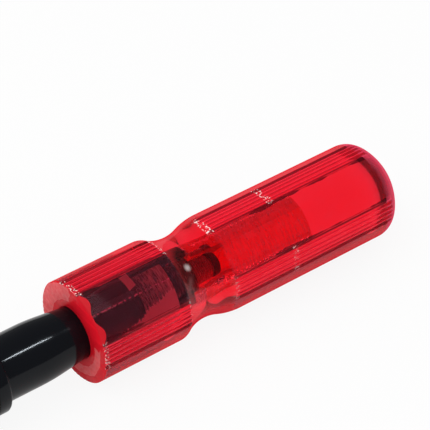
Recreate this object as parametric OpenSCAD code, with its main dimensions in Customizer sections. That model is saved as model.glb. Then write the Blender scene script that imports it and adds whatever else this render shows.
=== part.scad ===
// Traffic baton light: a thick clear red wand on a black battery handle.
// It lies along X. The wand's dome points to +X and the tail cap to -X.
// The origin is under the middle of the length, on the surface it rests on.
// Distances called "at" run along the axis from the wand's sawn face, + towards the dome.

/* [Wand] */
// Diameter of the wand's front barrel
wand_d = 34; // [33.4:0.1:36]
// Diameter of the wand behind the neck
rear_d = 32.6; // [32:0.1:33.4]
// Diameter of the neck at its narrowest
neck_d = 28; // [27:0.1:29]
// Length of the wand from sawn face to dome tip
wand_len = 122; // [115:1:150]
// Where the neck is narrowest
neck_at = 41.6; // [40:0.1:48]
// Diameter of the socket that takes the nose
socket_d = 17.3; // [17:0.1:17.6]
// Depth of the socket
socket_depth = 31.5; // [30:0.5:33]
// Diameter of the ridged light well
well_d = 12; // [11.8:0.1:13]
// Depth of the light well, from the sawn face
well_depth = 85; // [75:1:100]
// Grooves in each group
groove_count = 5; // [3:1:6]
// Angle between the grooves of one group
groove_step = 6; // [5:0.5:7]
// How far the wand is turned on the nose
wand_turn = 6.3; // [0:0.1:89]

/* [Nose] */
// Diameter of the nose's straight stretch
nose_d = 20; // [19.6:0.1:20.6]
// Length of nose that shows between flange and wand
nose_len = 30; // [25:0.5:34]
// Diameter of the nose's flange
flange_d = 24.5; // [23.5:0.1:26]
// Thickness of the flange
flange_t = 4.6; // [4:0.1:6]
// Diameter of the threaded lamp nozzle
stud_d = 8; // [7:0.1:9]

/* [Handle] */
// Outer diameter of the battery barrel
barrel_d = 32; // [31.6:0.1:33]
// Wall of the barrel
barrel_wall = 2.3; // [2.2:0.1:2.4]
// Diameter of a battery cell
cell_d = 26.2; // [25.6:0.1:26.4]
// Length of a battery cell
cell_len = 50; // [48:0.5:52]
// Ribs around the rubber grip
grip_ribs = 12; // [8:1:16]

/* [Tail cap] */
// Width across the flats of the hexagonal cap
cap_flats = 34; // [33.6:0.1:36]
// Pitch of the cap's thread
cap_pitch = 2; // [1.5:0.5:3]

/* [Switch] */
// Diameter of the push button
button_d = 8.6; // [8:0.1:9]
// Travel of the push button
button_travel = 1.5; // [1:0.1:1.6]

/* [Hidden] */

$fn = 96;
eps = 0.01;            // overrun of a cutting tool
run = 0.1;             // radial gap of a running or sliding fit
snug = 0.03;           // radial gap of a part that is pressed or glued home
slack = 0.3;           // gap round a loose part

// Radii of the turned parts
wand_r = wand_d / 2;
rear_r = rear_d / 2;
neck_r = neck_d / 2;
socket_r = socket_d / 2;
well_r = well_d / 2;
nose_r = nose_d / 2;
stud_r = stud_d / 2;
barrel_r = barrel_d / 2;
bore_r = barrel_r - barrel_wall;
cell_r = cell_d / 2;
cap_r = cap_flats / 2 / cos(30);

// Wand outline: sweeps of the thumb groove and the rounded shoulders either side
front_sweep = 16.5;
front_shoulder = 4.3;
rear_sweep = 17;
rear_shoulder = 21.7;
dome_r = 21;           // the domed end
dome_edge_r = 6.2;     // the round between dome and side
face_rim = 0.3;        // bevel round the sawn face
mouth_bevel = 0.3;     // broken edge at the socket's mouth
groove_r = 1.0;        // cutter for one groove
groove_depth = 0.45;
groove_groups = 4;

// Stations along the handle, all measured from the wand's sawn face
flange_at = -nose_len - flange_t;
ring_t = 3.4;
collar_at = flange_at - ring_t;
stub_len = 10;
collar_len = 16;
collar_end = collar_at - collar_len;
gasket_t = 1;
barrel_at = collar_end - gasket_t;
plug_len = 8;
pad_len = 28;
switch_at = barrel_at - pad_len / 2 - 4;
carrier_at = switch_at - 9;
carrier_t = 2.5;
contact_t = 1.5;
cells_at = carrier_at - carrier_t - contact_t;
cells_end = cells_at - 2 * cell_len;
spring_room = 12.5;
floor_at = cells_end - spring_room;
barrel_end = floor_at + 4.5;
thread_len = 12;
shoulder_at = barrel_end + thread_len;
floor_t = 2.5;
rim_depth = 4;
recess_r = 13.5;       // recess in the cap's end
tail_end = floor_at - floor_t - rim_depth;

axis_h = wand_r;                                // height of the axis over the table
face_x = -(wand_len + tail_end) / 2;            // X of the wand's sawn face

// ---- helpers ----

// Turned work: local z runs along the axis towards the dome, local -x is up.
module turned() {
    translate([face_x, 0, axis_h])
        rotate([0, 90, 0])
            children();
}

// Work square to the table: local x runs along the axis, local z is height over the axis.
module at(a) {
    translate([face_x + a, 0, axis_h])
        children();
}

// A plain ring of rectangular section between two stations.
module ring(r_in, r_out, from, to) {
    turned()
        rotate_extrude()
            translate([r_in, from])
                square([r_out - r_in, to - from]);
}

// Points of an arc, in the radius-station plane.
function arc(centre, r, from, to, n = 12) =
    [for (i = [0:n]) let (t = from + (to - from) * i / n) centre + r * [cos(t), sin(t)]];

// A coil of round wire as one closed sweep: centre-line radius, wire radius, height, turns.
module coil(r, wire, height, turns) {
    steps = 20;
    sides = 8;
    total = turns * steps;
    function centre_line(i) =
        [r * cos(360 * i / steps), r * sin(360 * i / steps), wire + (height - 2 * wire) * i / total];
    points = [
        for (i = [0:total], j = [0:sides - 1])
            let (t = 360 * i / steps, s = 360 * j / sides)
                centre_line(i) + wire * [cos(s) * cos(t), cos(s) * sin(t), sin(s)]
    ];
    skin = [
        for (i = [0:total - 1], j = [0:sides - 1])
            let (k = (j + 1) % sides)
                [i * sides + j, (i + 1) * sides + j, (i + 1) * sides + k, i * sides + k]
    ];
    start_cap = [for (j = [0:sides - 1]) j];
    end_cap = [for (j = [sides - 1:-1:0]) total * sides + j];
    polyhedron(points, concat([start_cap], skin, [end_cap]), convexity = 10);
}

// ---- wand ----

// Half outline of the solid wand: front barrel, thumb groove, rear barrel, dome.
module wand_outline() {
    front_c = [neck_r + front_sweep, neck_at];
    front_f = [wand_r - front_shoulder,
        neck_at - sqrt(pow(front_sweep + front_shoulder, 2)
            - pow(front_c[0] - wand_r + front_shoulder, 2))];
    rear_c = [neck_r + rear_sweep, neck_at];
    rear_f = [rear_r - rear_shoulder,
        neck_at + sqrt(pow(rear_sweep + rear_shoulder, 2)
            - pow(rear_c[0] - rear_r + rear_shoulder, 2))];
    dome_c = [0, wand_len - dome_r];
    edge_c = [rear_r - dome_edge_r,
        wand_len - dome_r + sqrt(pow(dome_r - dome_edge_r, 2) - pow(rear_r - dome_edge_r, 2))];
    front_t = atan2(front_f[1] - front_c[1], front_f[0] - front_c[0]);
    rear_t = atan2(rear_f[1] - rear_c[1], rear_f[0] - rear_c[0]);
    edge_t = atan2(edge_c[1] - dome_c[1], edge_c[0] - dome_c[0]);
    polygon(concat(
        [[0, 0], [wand_r - face_rim, 0], [wand_r, face_rim]],
        arc(front_f, front_shoulder, 0, front_t + 180, 8),
        arc(front_c, front_sweep, front_t, -180, 10),
        arc(rear_c, rear_sweep, 180, rear_t, 10),
        arc(rear_f, rear_shoulder, rear_t - 180, 0, 8),
        arc(edge_c, dome_edge_r, 0, edge_t, 10),
        arc(dome_c, dome_r, edge_t, 90, 10)
    ));
}

// One straight groove, cut into a barrel of the given radius.
module groove(r, from, to) {
    translate([-(r + groove_r - groove_depth), 0, from])
        cylinder(h = to - from, r = groove_r, $fn = 24);
}

// Clear red wand: fluted outside, a socket for the nose, and a blind light well beyond it.
module wand() {
    color([0.87, 0.1, 0.12, 0.7])
        turned()
            rotate([0, 0, -wand_turn])
                difference() {
                    rotate_extrude()
                        wand_outline();
                    translate([0, 0, -eps])
                        cylinder(h = socket_depth + eps, r = socket_r);
                    translate([0, 0, -eps])
                        cylinder(h = mouth_bevel + eps, r1 = socket_r + mouth_bevel + eps, r2 = socket_r);
                    cylinder(h = well_depth, r = well_r);
                    for (g = [0:groove_groups - 1], i = [0:groove_count - 1])
                        rotate([0, 0, 360 / groove_groups * g + groove_step * (i - (groove_count - 1) / 2)]) {
                            groove(wand_r, -1, neck_at);
                            groove(rear_r, neck_at, wand_len);
                        }
                }
}

// ---- nose and lamp ----

spigot_r = socket_r - run;
spigot_end = socket_depth - 0.5;
spigot_bevel = 0.6;
nose_bore_r = 0.5 * nose_r;
stub_r = 0.8 * nose_r;
seal_at = 18.6;
seal_w = 1.6;
seal_depth = 1;
seal_groove_r = spigot_r - seal_depth;

// Black nose: spigot in the wand's socket, tapered show length, flange and threaded stub.
module nose_tube() {
    bend_r = 70;
    bend_t = 6.6;
    bend_at = -17;
    flange_r = flange_d / 2;
    round_r = 0.8;
    taper = arc([nose_r - bend_r, bend_at], bend_r, 0, bend_t, 8);
    color([0.05, 0.05, 0.06])
        turned()
            rotate_extrude()
                polygon(concat(
                    [[nose_bore_r, collar_at - stub_len], [stub_r, collar_at - stub_len], [stub_r, flange_at],
                     [flange_r, flange_at]],
                    arc([flange_r - round_r, flange_at + flange_t - round_r], round_r, 0, 90, 6),
                    arc([nose_r + round_r, flange_at + flange_t + round_r], round_r, -90, -180, 6),
                    taper,
                    [[spigot_r, -eps], [spigot_r, seal_at],
                     [seal_groove_r, seal_at], [seal_groove_r, seal_at + seal_w],
                     [spigot_r, seal_at + seal_w], [spigot_r, spigot_end - spigot_bevel],
                     [spigot_r - spigot_bevel, spigot_end], [nose_bore_r, spigot_end]]
                ));
}

// Rubber ring in the spigot's groove, which grips the wand.
module socket_seal() {
    color([0.1, 0.1, 0.1])
        ring(seal_groove_r, spigot_r + run / 2, seal_at + 0.1, seal_at + seal_w - 0.1);
}

boss_r = well_r - 0.4;
boss_len = 10;
boss_end = spigot_end + boss_len;
stud_len = 12;
stud_end = boss_end + stud_len;
end_ring_t = 2.4;
thread_depth = 0.25;
lamp_r = stud_r / 2;
nozzle_bore_r = 3.2;
press_len = 10;        // how far the nozzle is pressed into the nose

// Black nozzle pressed in the nose: plain boss, then a threaded stud with the lamp in it.
module lamp_nozzle() {
    pitch = 1;
    bevel = 0.5;
    root_r = stud_r - thread_depth;
    first = boss_end + bevel;
    teeth = floor((stud_end - end_ring_t - first) / pitch);
    color([0.06, 0.05, 0.06])
        turned()
            rotate_extrude()
                polygon(concat(
                    [[nozzle_bore_r, spigot_end - press_len], [nose_bore_r - snug, spigot_end - press_len],
                     [nose_bore_r - snug, spigot_end], [boss_r, spigot_end], [boss_r, boss_end - bevel],
                     [boss_r - bevel, boss_end], [stud_r, boss_end]],
                    [for (i = [0:teeth - 1], k = [0:1])
                        [stud_r - thread_depth * k, first + pitch * (i + k / 2)]],
                    [[root_r, first + pitch * teeth], [root_r, stud_end],
                     [lamp_r, stud_end], [lamp_r, boss_end + bevel], [nozzle_bore_r, boss_end - 2 * bevel]]
                ));
}

// Ring screwed on the end of the stud.
module nozzle_ring() {
    color([0.04, 0.04, 0.04])
        ring(stud_r - thread_depth, stud_r + thread_depth, stud_end - end_ring_t, stud_end + thread_depth);
}

lamp_rim_t = 1;
lamp_base = boss_end - 2.2;

// Light-emitting diode: a clear body with a domed front and a rim at its base.
module led_lamp() {
    dome = stud_end - lamp_r / 2;
    color([0.95, 0.9, 0.85])
        turned() {
            translate([0, 0, lamp_base])
                cylinder(h = lamp_rim_t, r = 1.25 * lamp_r, $fn = 48);
            translate([0, 0, lamp_base + lamp_rim_t - eps])
                cylinder(h = dome - lamp_base - lamp_rim_t + eps, r = lamp_r, $fn = 48);
            translate([0, 0, dome])
                intersection() {
                    sphere(r = lamp_r, $fn = 48);
                    cylinder(h = 2 * lamp_r, r = 2 * lamp_r, $fn = 48);
                }
        }
}

board_t = 1.2;
led_board_at = lamp_base - board_t;

// Small round board that the lamp is soldered to.
module led_board() {
    color([0.1, 0.35, 0.18])
        turned()
            translate([0, 0, led_board_at])
                cylinder(h = board_t, r = nozzle_bore_r, $fn = 48);
}

cavity_r = bore_r - 2.7;       // inside the collar
driver_at = collar_at - stub_len - 5;
driver_t = 1.6;
wire_r = 0.6;
wire_gap = 3;

// Two wires from the driver board through the nose to the lamp's board.
module led_wires() {
    color([0.75, 0.1, 0.1])
        for (side = [-1, 1])
            turned()
                translate([0, side * wire_gap / 2, driver_at])
                    cylinder(h = led_board_at - driver_at, r = wire_r, $fn = 24);
}

// ---- head ----

// Tan lock ring between the flange and the collar.
module lock_ring() {
    color([0.62, 0.5, 0.36])
        ring(stub_r + snug, flange_d / 2 - 0.4, collar_at, flange_at);
}

// Black collar that steps up from the nose to the barrel.
module head_collar() {
    nose_end_r = flange_d / 2;
    plug_r = bore_r - snug;
    cone_len = 9;
    groove_at = collar_end + 2.6;
    groove_w = 1.4;
    groove_floor_r = barrel_r - 0.8;
    web_at = collar_at - stub_len - 1;
    color([0.06, 0.06, 0.07])
        turned()
            rotate_extrude()
                polygon(concat(
                    [[stub_r + snug, collar_at], [nose_end_r, collar_at], [barrel_r, collar_at - cone_len],
                     [barrel_r, groove_at + groove_w], [groove_floor_r, groove_at + groove_w],
                     [groove_floor_r, groove_at], [barrel_r, groove_at],
                     [barrel_r, collar_end], [plug_r, collar_end], [plug_r, barrel_at - plug_len],
                     [cavity_r, barrel_at - plug_len], [cavity_r, web_at], [stub_r + snug, web_at]]
                ));
}

// Flat gasket between collar and barrel.
module collar_seal() {
    color([0.12, 0.12, 0.12])
        ring(bore_r, barrel_r - 0.2, barrel_at, collar_end);
}

// Round driver board in the collar.
module driver_board() {
    color([0.1, 0.38, 0.2])
        turned()
            translate([0, 0, driver_at - driver_t])
                cylinder(h = driver_t, r = cavity_r - snug);
}

// Inductor on the driver board.
module driver_coil() {
    height = 3.2;
    color([0.25, 0.25, 0.27])
        turned()
            translate([0.41 * cavity_r, 0, driver_at - driver_t - height])
                cylinder(h = height, r = 3, $fn = 48);
}

// Driver chip on the board.
module driver_chip() {
    chip = [1.5, 5, 4];
    color([0.08, 0.08, 0.08])
        at(driver_at - driver_t - chip[0])
            translate([0, -chip[1] / 2, 0.23 * cavity_r])
                cube(chip);
}

// ---- handle ----

pad_w = 15;
pad_h = barrel_r + 1;          // height of the switch pad over the axis
button_hole_r = button_d / 2 + 1.5;
screw_gap = 20;
screw_shank_r = 0.9;
screw_len = 2.5;
strip_w = 4;
strip_t = 0.3;
strip_low = bore_r - 0.2;      // depth of the strip's underside below the axis
land_r = bore_r + 1.2;         // the threaded land at the tail
grip_recess = 1;
grip_from = shoulder_at + 6;
band_len = 12;
band_recess = 0.5;
band_to = cells_at - 3;
band_from = band_to - band_len;
grip_to = band_from - 1;

// Plate shape with round ends, centred on the switch.
module pad_shape(length, width, height) {
    for (side = [-1, 1])
        translate([side * (length - width) / 2, 0, 0])
            cylinder(h = height, r = width / 2, $fn = 64);
    translate([-(length - width) / 2, -width / 2, 0])
        cube([length - width, width, height]);
}

// Battery barrel: switch pad on top, recesses for a band clamp and the grip, threaded land at the tail.
module barrel() {
    difference() {
        color([0.07, 0.07, 0.08])
            union() {
                ring(bore_r, barrel_r, shoulder_at, barrel_at);
                ring(bore_r, land_r, barrel_end, shoulder_at + eps);
                difference() {
                    at(switch_at)
                        pad_shape(pad_len, pad_w, pad_h);
                    turned()
                        translate([0, 0, switch_at - pad_len])
                            cylinder(h = 2 * pad_len, r = bore_r);
                }
            }
        ring(barrel_r - grip_recess, barrel_r + 1, grip_from, grip_to);
        ring(barrel_r - band_recess, barrel_r + 1, band_from, band_to);
        at(switch_at)
            translate([0, 0, bore_r - 2])
                cylinder(h = 8, r = button_hole_r, $fn = 64);
        for (side = [-1, 1])
            at(switch_at + side * screw_gap / 2)
                translate([0, 0, pad_h - screw_len - 0.1])
                    cylinder(h = 4, r = screw_shank_r, $fn = 32);
    }
}

// Ribbed rubber sleeve on the barrel.
module grip_sleeve() {
    rib_h = 0.5;
    step = (grip_to - grip_from) / grip_ribs;
    color([0.1, 0.1, 0.1])
        turned()
            rotate_extrude()
                polygon(concat(
                    [[barrel_r - grip_recess, grip_to], [barrel_r - grip_recess, grip_from]],
                    [for (i = [0:grip_ribs - 1], p = [[0, 0.1], [rib_h, 0.25], [rib_h, 0.75], [0, 0.9]])
                        [barrel_r + p[0], grip_from + step * (i + p[1])]]
                ));
}

bezel_t = 1.8;
button_top = pad_h + bezel_t + 2.2;
flange_top = pad_h - 0.1;      // upper face of the button's flange
button_flange_t = 1;
block_top = bore_r - 3.2;      // height of the micro switch over the axis
block_l = 12;
block_w = 10;
block_h = 6.5;
shelf_t = 2;
rivet_r = 2.5;

// Plate that holds the button in, fixed with two countersunk screws.
module switch_bezel() {
    color([0.16, 0.16, 0.17])
        difference() {
            at(switch_at)
                translate([0, 0, pad_h])
                    pad_shape(pad_len - 2, pad_w - 2, bezel_t);
            at(switch_at)
                translate([0, 0, pad_h - 1])
                    cylinder(h = bezel_t + 2, r = button_d / 2 + slack, $fn = 64);
            for (side = [-1, 1])
                at(switch_at + side * screw_gap / 2)
                    translate([0, 0, pad_h])
                        screw_blank();
        }
}

// Countersunk screw through the plate, with the plate's underside at z = 0.
module screw_blank() {
    head_r = 1.9;
    head_t = 1;
    translate([0, 0, bezel_t - head_t])
        cylinder(h = head_t, r1 = screw_shank_r, r2 = head_r, $fn = 32);
    translate([0, 0, -screw_len])
        cylinder(h = screw_len + bezel_t - head_t + eps, r = screw_shank_r, $fn = 32);
}

// Two slotted countersunk screws.
module bezel_screws() {
    slot_w = 0.5;
    color([0.75, 0.75, 0.77])
        for (side = [-1, 1])
            at(switch_at + side * screw_gap / 2)
                translate([0, 0, pad_h])
                    difference() {
                        screw_blank();
                        translate([-3, -slot_w / 2, bezel_t - slot_w])
                            cube([6, slot_w, 1]);
                    }
}

// Push button: domed cap, retaining flange and a stem over the switch.
module push_button() {
    crown_r = 9;
    stem_r = 1.8;
    stem_from = block_top + button_travel + 0.2;
    flange_low = flange_top - button_flange_t;
    color([0.8, 0.08, 0.1])
        at(switch_at) {
            intersection() {
                translate([0, 0, flange_low])
                    cylinder(h = button_top - flange_low, r = button_d / 2, $fn = 64);
                translate([0, 0, button_top - crown_r])
                    sphere(r = crown_r, $fn = 96);
            }
            translate([0, 0, flange_low])
                cylinder(h = button_flange_t, r = button_hole_r - slack, $fn = 64);
            translate([0, 0, stem_from])
                cylinder(h = flange_low - stem_from + eps, r = stem_r, $fn = 32);
        }
}

// Return spring between the micro switch and the button's flange.
module button_spring() {
    coil_r = 0.8 * button_d / 2;
    color([0.7, 0.7, 0.72])
        at(switch_at)
            translate([0, 0, block_top])
                coil(coil_r, 0.3, flange_top - button_flange_t - block_top - 0.05, 4);
}

// Micro switch block under the button.
module micro_switch() {
    color([0.1, 0.1, 0.12])
        at(switch_at)
            translate([-block_l / 2, -block_w / 2, block_top - block_h])
                cube([block_l, block_w, block_h]);
}

// Moulded carrier: a disc across the bore with a shelf for the micro switch.
module switch_carrier() {
    color([0.85, 0.84, 0.8])
        difference() {
            union() {
                ring(rivet_r, bore_r - snug, carrier_at - carrier_t, carrier_at);
                at(carrier_at - eps)
                    translate([0, -block_l / 2, block_top - block_h - shelf_t])
                        cube([switch_at - carrier_at + block_l / 2, block_l, shelf_t]);
            }
            at(carrier_at - carrier_t - 1)
                translate([0, -strip_w / 2 - slack, -bore_r - 1])
                    cube([carrier_t + 2, strip_w + 2 * slack, 2]);
        }
}

// Two wires from the driver board to the micro switch.
module switch_wires() {
    from = switch_at + block_l / 2;
    color([0.15, 0.15, 0.6])
        for (side = [-1, 1])
            turned()
                translate([-(block_top - 3), side * 2.5, from])
                    cylinder(h = driver_at - driver_t - from, r = wire_r, $fn = 24);
}

// Brass contact in the carrier that meets the front cell.
module front_contact() {
    color([0.78, 0.62, 0.3])
        turned() {
            translate([0, 0, carrier_at - carrier_t - contact_t])
                cylinder(h = contact_t, r = 2 * rivet_r, $fn = 48);
            translate([0, 0, carrier_at - carrier_t - eps])
                cylinder(h = carrier_t, r = rivet_r, $fn = 48);
        }
}

// ---- cells ----

// One cell: a steel can with a rolled edge and a raised positive button towards the wand.
module cell(at_front) {
    nub = 1.6;
    nub_r = 3.4;
    edge = 1;
    turned()
        rotate_extrude()
            polygon(concat(
                [[0, at_front - cell_len]],
                arc([cell_r - edge, at_front - cell_len + edge], edge, -90, 0, 5),
                arc([cell_r - edge, at_front - nub - edge], edge, 0, 90, 5),
                [[nub_r, at_front - nub], [nub_r - 0.2, at_front], [0, at_front]]
            ));
}

// Cell nearest the wand.
module front_cell() {
    color([0.25, 0.27, 0.3])
        cell(cells_at);
}

// Cell nearest the tail.
module rear_cell() {
    color([0.25, 0.27, 0.3])
        cell(cells_at - cell_len);
}

// Brass strip along the bottom of the bore, with a foot turned in at the barrel's end.
module contact_strip() {
    foot_h = 2.5;
    color([0.8, 0.64, 0.3])
        at(barrel_end)
            translate([0, -strip_w / 2, -strip_low]) {
                cube([cells_at - barrel_end + 5, strip_w, strip_t]);
                cube([strip_t, strip_w, foot_h]);
            }
}

// ---- tail ----

cup_t = 0.6;
pocket_r = bore_r - 0.5;
cup_r = pocket_r - slack;

// Coil spring that presses the cells forward.
module tail_spring() {
    color([0.72, 0.72, 0.74])
        turned()
            translate([0, 0, floor_at + cup_t])
                coil(0.6 * cell_r, 0.7, spring_room - cup_t - 0.2, 4);
}

// Brass cup in the cap, whose rim meets the strip's foot when the cap is home.
module tail_contact() {
    color([0.8, 0.64, 0.3])
        turned()
            rotate_extrude()
                polygon([[2, floor_at], [cup_r, floor_at], [cup_r, barrel_end], [cup_r - cup_t, barrel_end],
                    [cup_r - cup_t, floor_at + cup_t], [2, floor_at + cup_t]]);
}

// Hexagonal screw cap with a recessed end.
module tail_cap() {
    length = shoulder_at - gasket_t - tail_end;
    bevel_in = 3.2;
    bevel_up = 2.9;
    outer_r = cap_r + 0.2;
    color([0.06, 0.06, 0.07])
        turned()
            difference() {
                intersection() {
                    translate([0, 0, tail_end])
                        rotate([0, 0, 30])
                            cylinder(h = length, r = cap_r, $fn = 6);
                    translate([0, 0, tail_end])
                        rotate_extrude()
                            polygon([[0, 0], [cap_r - bevel_in, 0], [outer_r, bevel_up],
                                [outer_r, length - bevel_up], [cap_r - bevel_in, length], [0, length]]);
                }
                translate([0, 0, barrel_end - 0.5])
                    cylinder(h = length, r = land_r + run);
                translate([0, 0, floor_at])
                    cylinder(h = length, r = pocket_r);
                translate([0, 0, tail_end - 1])
                    cylinder(h = rim_depth + 1, r = recess_r);
            }
}

// Flat gasket between the barrel's shoulder and the cap.
module cap_seal() {
    color([0.55, 0.1, 0.1])
        ring(land_r, barrel_r - slack, shoulder_at - gasket_t, shoulder_at);
}

pivot_h = 7;
plate_t = 0.8;
wire_loop_r = 1;
eye_r = 1.9;
pivot_at = floor_at - floor_t - eye_r;
loop_w = 14;
corner_r = 2;

// Sheet-metal hinge with a rolled eye, riveted in the recess.
module loop_hinge() {
    eye_w = 7;
    plate_h = 5;
    color([0.7, 0.71, 0.73])
        difference() {
            union() {
                at(pivot_at)
                    translate([0, eye_w / 2, pivot_h])
                        rotate([90, 0, 0])
                            cylinder(h = eye_w, r = eye_r, $fn = 48);
                at(pivot_at + eye_r - plate_t)
                    translate([0, -eye_w / 2, pivot_h])
                        cube([plate_t, eye_w, plate_h]);
            }
            at(pivot_at)
                translate([0, eye_w / 2 + 1, pivot_h])
                    rotate([90, 0, 0])
                        cylinder(h = eye_w + 2, r = wire_loop_r + 0.08, $fn = 48);
        }
}

// Two rivets through the hinge plate.
module hinge_rivets() {
    head_t = 0.6;
    color([0.8, 0.8, 0.82])
        for (side = [-1, 1])
            at(pivot_at + eye_r - plate_t - head_t)
                translate([0, side * 2, pivot_h + 3.4])
                    rotate([0, 90, 0])
                        cylinder(h = head_t, r = 0.9, $fn = 24);
}

// Folding wire loop, at rest hanging flat in the recess.
module hang_loop() {
    half = loop_w / 2;
    leg = 7;
    color([0.75, 0.76, 0.78])
        at(pivot_at)
            translate([0, 0, pivot_h])
                rotate([0, 0, 90]) {
                    translate([-half + corner_r, 0, 0])
                        rotate([0, 90, 0])
                            cylinder(h = loop_w - 2 * corner_r, r = wire_loop_r, $fn = 32);
                    for (side = [0, 1])
                        mirror([side, 0, 0]) {
                            translate([half - corner_r, 0, -corner_r])
                                rotate([90, 0, 0])
                                    rotate_extrude(angle = 90, $fn = 48)
                                        translate([corner_r, 0])
                                            circle(r = wire_loop_r, $fn = 32);
                            translate([half, 0, -corner_r - leg])
                                cylinder(h = leg, r = wire_loop_r, $fn = 32);
                        }
                    translate([0, 0, -corner_r - leg])
                        rotate([90, 0, 0])
                            rotate([0, 0, 180])
                                rotate_extrude(angle = 180, $fn = 64)
                                    translate([half, 0])
                                        circle(r = wire_loop_r, $fn = 32);
                }
}

// ---- assembly ----

wand();
nose_tube();
socket_seal();
lamp_nozzle();
nozzle_ring();
led_lamp();
led_board();
led_wires();
lock_ring();
head_collar();
collar_seal();
driver_board();
driver_coil();
driver_chip();
barrel();
grip_sleeve();
switch_bezel();
bezel_screws();
push_button();
button_spring();
micro_switch();
switch_carrier();
switch_wires();
front_contact();
front_cell();
rear_cell();
contact_strip();
tail_spring();
tail_contact();
tail_cap();
cap_seal();
loop_hinge();
hinge_rivets();
hang_loop();
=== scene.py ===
from math import atan2, cos, degrees, hypot, pi, radians, sin, sqrt

import bmesh
import bpy
from mathutils import Matrix, Vector


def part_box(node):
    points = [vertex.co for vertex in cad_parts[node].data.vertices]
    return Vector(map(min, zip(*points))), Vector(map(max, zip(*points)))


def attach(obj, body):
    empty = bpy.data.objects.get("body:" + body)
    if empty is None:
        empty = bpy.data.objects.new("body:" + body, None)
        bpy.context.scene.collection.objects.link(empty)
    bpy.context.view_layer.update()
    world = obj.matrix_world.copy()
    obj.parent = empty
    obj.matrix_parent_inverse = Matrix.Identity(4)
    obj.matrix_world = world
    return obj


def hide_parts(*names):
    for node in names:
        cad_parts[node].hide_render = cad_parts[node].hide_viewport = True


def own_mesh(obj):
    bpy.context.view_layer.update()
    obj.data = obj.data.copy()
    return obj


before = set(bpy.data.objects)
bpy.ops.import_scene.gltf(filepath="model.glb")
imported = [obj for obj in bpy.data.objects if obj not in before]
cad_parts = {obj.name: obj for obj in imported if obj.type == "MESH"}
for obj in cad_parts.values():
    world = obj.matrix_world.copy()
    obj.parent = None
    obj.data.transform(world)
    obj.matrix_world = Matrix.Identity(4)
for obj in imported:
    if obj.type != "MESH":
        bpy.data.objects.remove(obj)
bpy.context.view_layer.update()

# Traffic baton light, put together from its nose back to its hanging loop. It lies along X on
# the floor, with the wand's dome towards +X. A station is a place on its axis, in mm from the
# wand's sawn face and positive towards the dome.
scene = bpy.context.scene
scene.view_settings.view_transform = "Standard"
scene.cycles.max_bounces = 40
scene.cycles.transmission_bounces = 40
scene.cycles.glossy_bounces = 12

# ---- camera ----
# A long lens looks down on the light from behind its handle, on the side where the window
# between two groups of flutes shows the nozzle. The handle runs out of view at the lower left.
mm = 0.001
wand_low, wand_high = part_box("wand")
face_x = wand_low.x
axis_h = (wand_low.z + wand_high.z) / 2
heading = radians(52.63)
looking_down = radians(39.74)
aim = Vector((face_x + 68.1 * mm, 18.4 * mm, axis_h))
camera_distance = 0.7509

camera_data = bpy.data.cameras.new("camera")
camera_data.sensor_width = 36
camera_data.lens = 195
camera = bpy.data.objects.new("camera", camera_data)
scene.collection.objects.link(camera)
ahead = Vector((cos(heading) * cos(looking_down), sin(heading) * cos(looking_down), -sin(looking_down)))
camera.location = aim - ahead * camera_distance
camera.rotation_euler = ahead.to_track_quat("-Z", "Y").to_euler()
scene.camera = camera


# ---- floor and backdrop ----
# A plain white sheet that the light lies on. It shows itself white to the eye, to polished
# pieces and through clear ones, and keeps a soft shadow under the light.
class Value:
    """A shader socket that can be used in sums."""

    def __init__(self, nodes, socket):
        self.nodes = nodes
        self.socket = socket

    def calculate(self, operation, *values):
        return self.nodes.node("ShaderNodeMath", {"operation": operation}, dict(enumerate(values)))

    def __add__(self, other):
        return self.calculate("ADD", self, other)

    def __sub__(self, other):
        return self.calculate("SUBTRACT", self, other)

    def __rsub__(self, other):
        return self.calculate("SUBTRACT", other, self)

    def __mul__(self, other):
        return self.calculate("MULTIPLY", self, other)

    def __truediv__(self, other):
        return self.calculate("DIVIDE", self, other)

    def __gt__(self, other):
        return self.calculate("GREATER_THAN", self, other)

    def __lt__(self, other):
        return self.calculate("LESS_THAN", self, other)

    def __abs__(self):
        return self.calculate("ABSOLUTE", self)

    def maximum(self, other):
        return self.calculate("MAXIMUM", self, other)

    def angle_from(self, other):
        return self.calculate("ARCTAN2", self, other)

    def hypotenuse(self, other):
        return self.calculate("SQRT", self * self + other * other)

    def wrapped(self, low, high):
        return self.calculate("WRAP", self, high, low)

    def ramp(self, start, end, low=0.0, high=1.0):
        limits = {"Value": self, "From Min": start, "From Max": end, "To Min": low, "To Max": high}
        return self.nodes.node("ShaderNodeMapRange", {"clamp": True}, limits)

    __radd__ = __add__
    __rmul__ = __mul__


class Nodes:
    """A node tree while it is laid out."""

    def __init__(self, tree):
        self.tree = tree

    def feed(self, socket, value):
        if isinstance(value, Value):
            self.tree.links.new(value.socket, socket)
        elif isinstance(value, tuple) and len(value) == 3 and socket.type == "RGBA":
            socket.default_value = (*value, 1)
        else:
            socket.default_value = value

    def node(self, kind, settings=None, inputs=None, out=0):
        made = self.tree.nodes.new(kind)
        for key, value in (settings or {}).items():
            setattr(made, key, value)
        for key, value in (inputs or {}).items():
            self.feed(made.inputs[key], value)
        return Value(self, made.outputs[out])

    def rays(self):
        """Whether a ray comes from the eye, off a polished face or through a clear one."""
        kinds = ("Camera", "Glossy", "Transmission")
        return [self.node("ShaderNodeLightPath", out=f"Is {kind} Ray") for kind in kinds]

    def blend(self, share, one, two):
        return self.node("ShaderNodeMixShader", {}, {0: share, 1: one, 2: two})


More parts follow.
